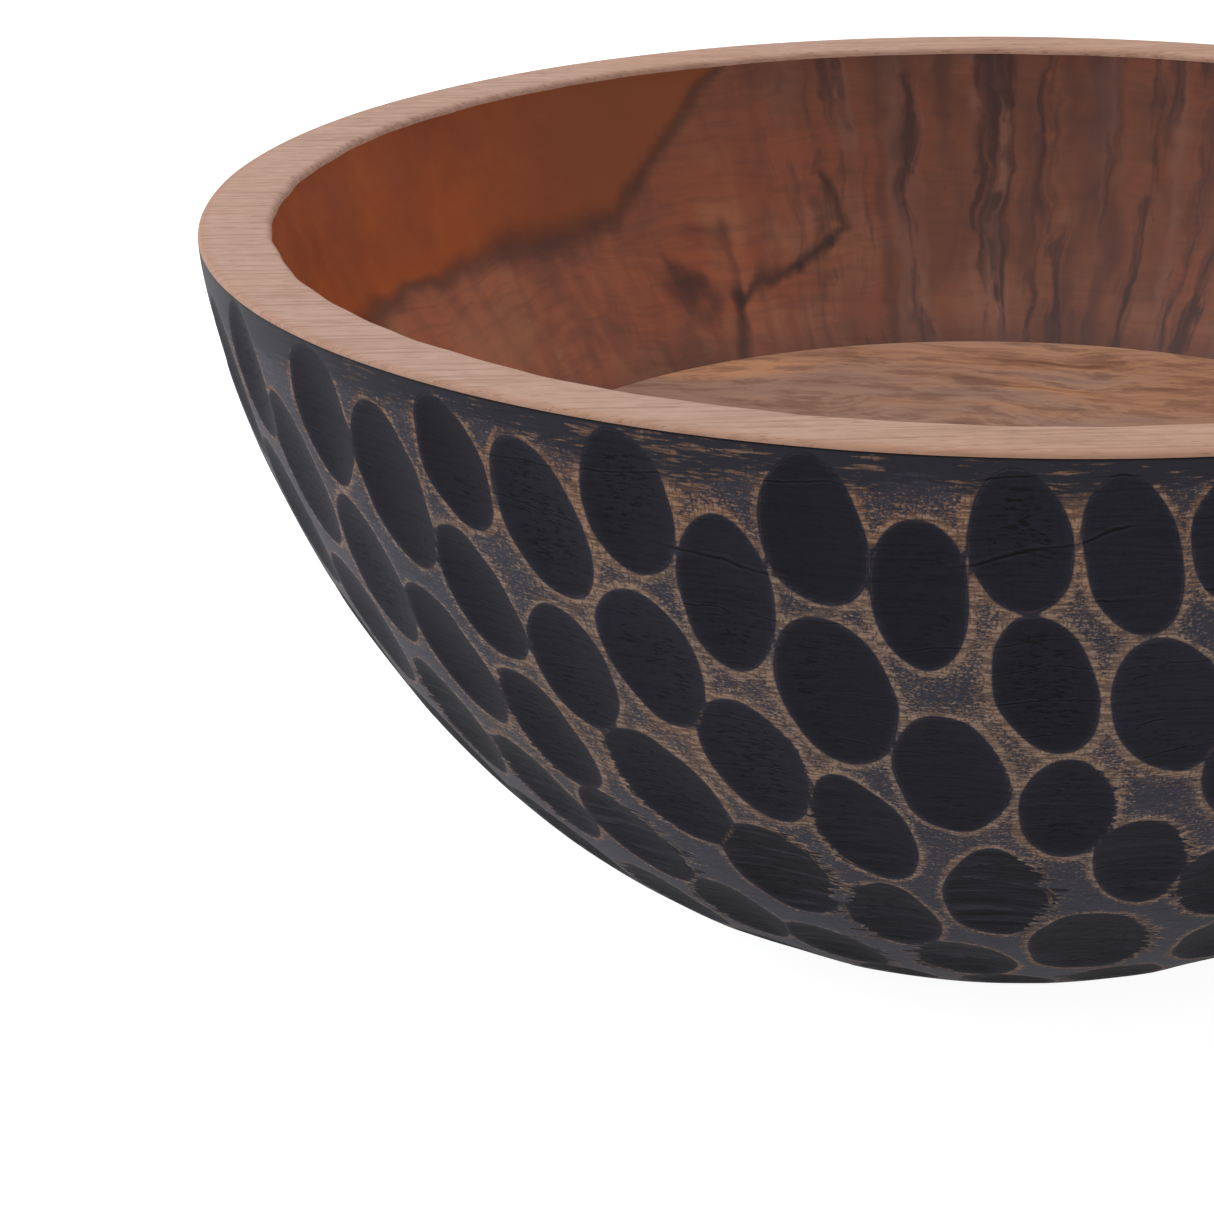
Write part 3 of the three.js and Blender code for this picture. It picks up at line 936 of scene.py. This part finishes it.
def wall_stripes(t, wall, turn, color):
    """Wavy, upright purple-brown stripes on the right, with paler ones among them."""
    bent = t.warped(t.warped(wall, 30.0, (0.004, 0.004, 0.0)), 110.0, (0.0024, 0.0024, 0.0))
    bent = t.warped(bent, 330.0, (0.0007, 0.0007, 0.0))
    right = t.math("MULTIPLY", t.step(turn, degrees_out(122), degrees_out(100)),
                   t.step(turn, degrees_out(-84), degrees_out(-40)))
    dark = t.grain(bent, (170, 170, 13), detail=3, roughness=0.6)
    wide = t.grain(bent, (75, 75, 9), detail=2, roughness=0.6, shift=(0.3, 0.0, 0.0))
    pale = t.grain(bent, (130, 130, 10), detail=2, shift=(0.0, 2.1, 0.0))
    color = t.lay(color, right, 0.42, WALL_DARK)
    layers = ((pale, 0.53, 0.68, 0.55, WALL_PALE), (wide, 0.48, 0.62, 0.60, WALL_PURPLE),
              (dark, 0.51, 0.64, 0.75, WALL_PURPLE), (dark, 0.60, 0.68, 0.40, WALL_BLACK))
    for field, low, high, share, tint in layers:
        color = t.lay(color, t.math("MULTIPLY", t.step(field, low, high), right), share, tint)
    return color


def inside_wall():
    """Waxed red-brown heartwood with dark veins and a knot, and orange sapwood on the left."""
    t = Tree("waxed_wall_wood")
    place = t.place()
    x, y, z = t.split(place)
    radius = t.from_axis(x, y)
    around = t.joined(t.math("DIVIDE", x, radius), t.math("DIVIDE", y, radius), 0.0)
    wall = t.vector("ADD", t.scaled(around, (WALL_SPREAD,) * 3), t.joined(0.0, 0.0, z))
    turn = t.math("ARCTAN2", t.math("MULTIPLY", x, -1.0), y)
    turn = t.math("MULTIPLY_ADD", turn, WALL_SPREAD, degrees_out(90))
    sheet = t.warped(t.joined(turn, z, 0.0), 45.0, (0.003, 0.0025, 0.0))
    sheet = t.warped(sheet, 150.0, (0.0013, 0.0012, 0.0))
    sheet = t.warped(sheet, 480.0, (0.0005, 0.0005, 0.0))

    color, broad, smoky, flames = wall_ground(t, wall, turn)
    color = wall_stripes(t, wall, turn, color)

    glow = t.step(nearest_stroke(t, sheet, WALL_GLOW), 0.010, 0.001)
    color = t.lay(color, glow, 0.50, WALL_TAN)

    flat_x, flat_z, _ = t.split(sheet)
    rise = t.math("MAXIMUM", t.math("SUBTRACT", degrees_out(BORDER_TURN), flat_x), 0.0)
    border = t.math("SUBTRACT", flat_z, t.math("MULTIPLY_ADD", rise, BORDER_RISE, BORDER_LEVEL))
    window = t.step(turn, degrees_out(238), degrees_out(200))
    sap = t.math("MULTIPLY", t.step(border, -0.0012, 0.0018), window)
    sapwood = t.mix(spread_out(t, smoky), SAP_ORANGE, SAP_DEEP)
    sapwood = t.mix(t.step(turn, degrees_out(158), degrees_out(128)), sapwood, SAP_EDGE)
    color = t.lay(color, sap, 0.92, sapwood)
    reach = t.math("MULTIPLY_ADD", broad, 0.011, -0.0010)
    shade = t.math("SUBTRACT", 1.0, t.math("DIVIDE", t.math("ABSOLUTE", border), reach), clamp=True)
    shade = t.math("MULTIPLY", t.step(shade, 0.0, 1.0), window)
    color = t.lay(color, shade, 0.55, WALL_BLACK)

    swell = t.math("MULTIPLY_ADD", spread_out(t, flames, 3.0), 0.7, 0.5)
    for stops, width, share in WALL_VEINS:
        half_width = t.math("MULTIPLY", swell, width * MM)
        across = t.math("DIVIDE", nearest_stroke(t, sheet, stops), half_width)
        color = t.lay(color, t.step(across, 1.35, 0.0), share, WALL_BLACK)

    # Painted shade: the lowest 6 mm of the wall is darkened towards the floor, for the shade in the
    # corner.
    corner = t.step(z, FLOOR_LEVEL * MM + 0.006, FLOOR_LEVEL * MM)
    color = t.lay(color, corner, 0.4, WALL_PURPLE)
    fibres = t.grain(place, (60, 60, 1500), detail=2, roughness=0.6)
    return t.finish(color, 0.42, t.bump(fibres, 0.00005, 0.4), specular=0.3)


FLOOR_UMBER = srgb(126, 82, 60)
FLOOR_BROWN = srgb(172, 120, 90)
FLOOR_PALE = srgb(196, 142, 108)
FLOOR_MID = srgb(170, 116, 86)
FLOOR_DEEP = srgb(128, 84, 64)
FLOOR_GREY = srgb(160, 132, 120)
FLOOR_RIGHT = srgb(134, 86, 62)
FLOOR_BRIGHT = srgb(232, 164, 116)
# Painted light: a lighter colour for the far edge of the floor.
FLOOR_PAINTED_LIGHT = srgb(206, 158, 128)
FLOOR_BLOT = srgb(118, 80, 64)

# Middle of the floor's bright patch, once the floor is stretched to make the patch round.
BRIGHT_STRETCH = (1.0, 2.2, 0.0)
BRIGHT_MIDDLE = (-0.057, 0.169, 0.0)


def inside_floor():
    """Paler flat-sawn wood with wavy darker bands, greyer on the left and browner on the right."""
    t = Tree("waxed_floor_wood")
    place = t.place()
    x, y, _ = t.split(place)
    bent = t.warped(t.warped(place, 16.0, (0.012, 0.012, 0.0)), 60.0, (0.004, 0.004, 0.0))
    bands = t.grain(bent, (15, 62, 15), detail=5, roughness=0.65)
    fine = t.grain(bent, (60, 340, 60), detail=3, roughness=0.65)
    blots = t.grain(bent, (80, 190, 80), detail=4, roughness=0.7)
    tone = t.math("ADD", t.math("MULTIPLY", bands, 0.6), t.math("MULTIPLY", fine, 0.4))
    color = t.ramp(tone, (
        (0.36, FLOOR_UMBER),
        (0.44, FLOOR_BROWN),
        (0.51, FLOOR_PALE),
        (0.58, FLOOR_MID),
        (0.66, FLOOR_DEEP),
    ))
    grey = t.math("ADD", t.math("MULTIPLY", x, -6.0), t.math("MULTIPLY", y, -5.0))
    grey = t.math("ADD", grey, t.math("MULTIPLY_ADD", bands, 3.0, -1.0))
    color = t.lay(color, t.step(grey, -0.2, 0.5), 0.6, FLOOR_GREY)
    color = t.lay(color, t.step(x, 0.01, 0.07), 0.28, FLOOR_RIGHT)
    bright = t.vector("SUBTRACT", t.scaled(bent, BRIGHT_STRETCH), BRIGHT_MIDDLE)
    bright = t.vector("LENGTH", bright)
    color = t.lay(color, t.step(bright, 0.026, 0.008), 0.60, FLOOR_BRIGHT)
    # Painted light: the far edge of the floor is laid lighter, where more light reaches past the
    # near wall.
    color = t.lay(color, t.step(y, 0.084, 0.099), 0.4, FLOOR_PAINTED_LIGHT)
    color = t.lay(color, t.step(blots, 0.48, 0.62), 0.55, FLOOR_BLOT)
    height = t.grain(place, (40, 900, 40), detail=2)
    return t.finish(color, 0.45, t.bump(height, 0.00006, 0.5), specular=0.3)


FOOT_PAINT = srgb(44, 42, 47)
FOOT_WORN = srgb(140, 108, 86)


def painted_foot():
    """Flat foot, painted and rubbed by whatever it stands on."""
    t = Tree("painted_foot")
    place = t.place()
    lines = t.grain(place, (40, 900, 900), detail=3)
    rub = t.noise(place, 40.0, detail=3)
    worn = t.step(t.math("ADD", rub, t.math("MULTIPLY_ADD", lines, 0.6, -0.3)), 0.56, 0.66)
    color = t.mix(worn, FOOT_PAINT, FOOT_WORN)
    return t.finish(color, 0.6, t.bump(lines, 0.0001, 0.6), specular=0.3)


# ---------------------------------------------------------------- pieces

def make_piece(piece, node, materials):
    for material in materials:
        piece.data.materials.append(material)
    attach(piece, "root")
    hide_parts(node)


outside_paint = painted_outside()
make_piece(build_ring(), "upper_ring", (outside_paint, bare_rim(), inside_wall()))
make_piece(build_base(), "base_block", (outside_paint, inside_floor(), painted_foot()))


# ---------------------------------------------------------------- stage, light, camera

FLOOR_SIZE = 24.0

# How bright the surroundings are to the camera, and how much light they give the bowl.
SEEN_WHITE = 1.0
WORLD_LIGHT = 0.42

# The same for the stage floor.
FLOOR_SEEN = 0.93
FLOOR_GLOW = 0.25

# Lights: name, place, the point it faces, its width and height, power and colour.
SOFTBOXES = (
    ("top_softbox", (-0.2, 0.3, 1.5), (0, 0, 0.05), (1.6, 1.6), 9, (1, 1, 1)),
    ("back_left_softbox", (-1.6, 0.9, 0.5), (0, 0, 0.06), (1.0, 0.8), 5, (0.88, 0.94, 1.0)),
    ("left_softbox", (-1.3, -0.3, 0.9), (0, 0, 0.08), (1.0, 1.2), 5, (0.84, 0.92, 1.0)),
)


def make_floor():
    mesh = bpy.data.meshes.new("floor")
    half = FLOOR_SIZE / 2
    mesh.from_pydata([(-half, -half, 0), (half, -half, 0), (half, half, 0), (-half, half, 0)], [],
                     [(0, 1, 2, 3)])
    floor = bpy.data.objects.new("floor", mesh)
    bpy.context.scene.collection.objects.link(floor)
    t = Tree("pale_floor")
    tone = t.noise(t.place(), 3.0, detail=1)
    t.shader.inputs["Emission Color"].default_value = (1, 1, 1, 1)
    seen = t.nodes.new("ShaderNodeLightPath").outputs["Is Camera Ray"]
    glow = t.math("MULTIPLY_ADD", seen, FLOOR_SEEN - FLOOR_GLOW, FLOOR_GLOW)
    t.set(t.shader.inputs["Emission Strength"], glow)
    grey = t.mix(tone, (0.5, 0.5, 0.5, 1), (0.48, 0.48, 0.48, 1))
    floor.data.materials.append(t.finish(grey, 0.9, specular=0.0))


def area_light(name, place, target, size, power, color):
    light = bpy.data.lights.new(name, "AREA")
    light.shape = "RECTANGLE"
    light.size, light.size_y = size
    light.energy = power
    light.color = color
    lamp = bpy.data.objects.new(name, light)
    lamp.location = place
    lamp.rotation_euler = (Vector(target) - Vector(place)).to_track_quat("-Z", "Y").to_euler()
    bpy.context.scene.collection.objects.link(lamp)


def light_scene():
    world = bpy.data.worlds.new("studio")
    world.use_nodes = True
    nodes = world.node_tree.nodes
    background = nodes["Background"]
    background.inputs["Color"].default_value = (1, 1, 1, 1)
    strength = nodes.new("ShaderNodeMath")
    strength.operation = "MULTIPLY_ADD"
    strength.inputs[1].default_value = SEEN_WHITE - WORLD_LIGHT
    strength.inputs[2].default_value = WORLD_LIGHT
    seen = nodes.new("ShaderNodeLightPath").outputs["Is Camera Ray"]
    world.node_tree.links.new(seen, strength.inputs[0])
    world.node_tree.links.new(strength.outputs[0], background.inputs["Strength"])
    bpy.context.scene.world = world
    for softbox in SOFTBOXES:
        area_light(*softbox)
    bpy.context.scene.view_settings.view_transform = "Standard"
    bpy.context.scene.view_settings.look = "None"


# Camera, in rim radii and degrees about the centre of the rim.
CAMERA_DISTANCE = 4.157
CAMERA_RISE = 14.03
CAMERA_YAW = 6.79
CAMERA_PITCH = -7.15
CAMERA_ROLL = -0.91
CAMERA_LENS = 98.4
SENSOR = 36.0


def make_camera():
    data = bpy.data.cameras.new("camera")
    data.sensor_width = SENSOR
    data.lens = CAMERA_LENS
    data.clip_start, data.clip_end = 0.01, 50
    camera = bpy.data.objects.new("camera", data)
    rise = math.radians(CAMERA_RISE)
    back = Vector((0, -math.cos(rise), math.sin(rise)))
    location = Vector((0, 0, HEIGHT)) + back * (CAMERA_DISTANCE * RIM_RADIUS)
    forward, right = -back, Vector((1, 0, 0))
    up = right.cross(forward)
    turn = Matrix.Rotation(math.radians(CAMERA_YAW), 3, up)
    forward, right = turn @ forward, turn @ right
    turn = Matrix.Rotation(math.radians(CAMERA_PITCH), 3, right)
    forward, up = turn @ forward, turn @ up
    turn = Matrix.Rotation(math.radians(CAMERA_ROLL), 3, forward)
    right, up = turn @ right, turn @ up
    axes = Matrix((right, up, -forward)).transposed()
    camera.matrix_world = Matrix.Translation(location * MM) @ axes.to_4x4()
    bpy.context.scene.collection.objects.link(camera)
    bpy.context.scene.camera = camera


make_floor()
light_scene()
make_camera()
